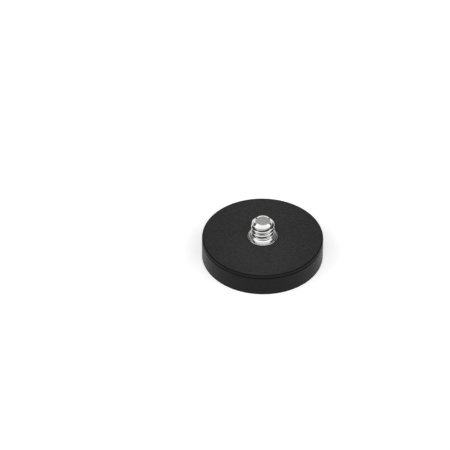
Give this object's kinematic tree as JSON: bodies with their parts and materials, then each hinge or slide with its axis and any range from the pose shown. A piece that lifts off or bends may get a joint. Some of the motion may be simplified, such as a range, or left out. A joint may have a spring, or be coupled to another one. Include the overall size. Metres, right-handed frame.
{
  "type": "rubber-coated pot magnet with threaded stud",
  "caption": "Flat round pot magnet in a black rubber coat, with a flanged threaded stud standing out of the centre of its top.",
  "frame": {"origin": "centre of the flat holding face, under the magnet", "axes": "+Z along the stud's axis, from the holding face towards the stud's end; the part is round about Z apart from its thread and its ring of magnets"},
  "size_m": [0.033, 0.033, 0.0123],
  "materials": {
    "rubber_coat": "matte, finely mottled moulded rubber",
    "stud_plating": "bright nickel plating over turned steel",
    "yoke_steel": "zinc-plated mild steel",
    "magnet_plating": "nickel-plated sintered magnet",
    "carrier_plastic": "matte moulded plastic"
  },
  "bodies": {
    "root": {"rubber_boot": "rubber_coat", "top_cover": "rubber_coat", "threaded_stud": "stud_plating", "yoke_plate": "yoke_steel", "magnet_carrier": "carrier_plastic", "disc_magnet_01": "magnet_plating", "disc_magnet_02": "magnet_plating", "disc_magnet_03": "magnet_plating", "disc_magnet_04": "magnet_plating", "disc_magnet_05": "magnet_plating", "disc_magnet_06": "magnet_plating", "disc_magnet_07": "magnet_plating", "disc_magnet_08": "magnet_plating", "disc_magnet_09": "magnet_plating", "disc_magnet_10": "magnet_plating"}
  },
  "joints": []
}
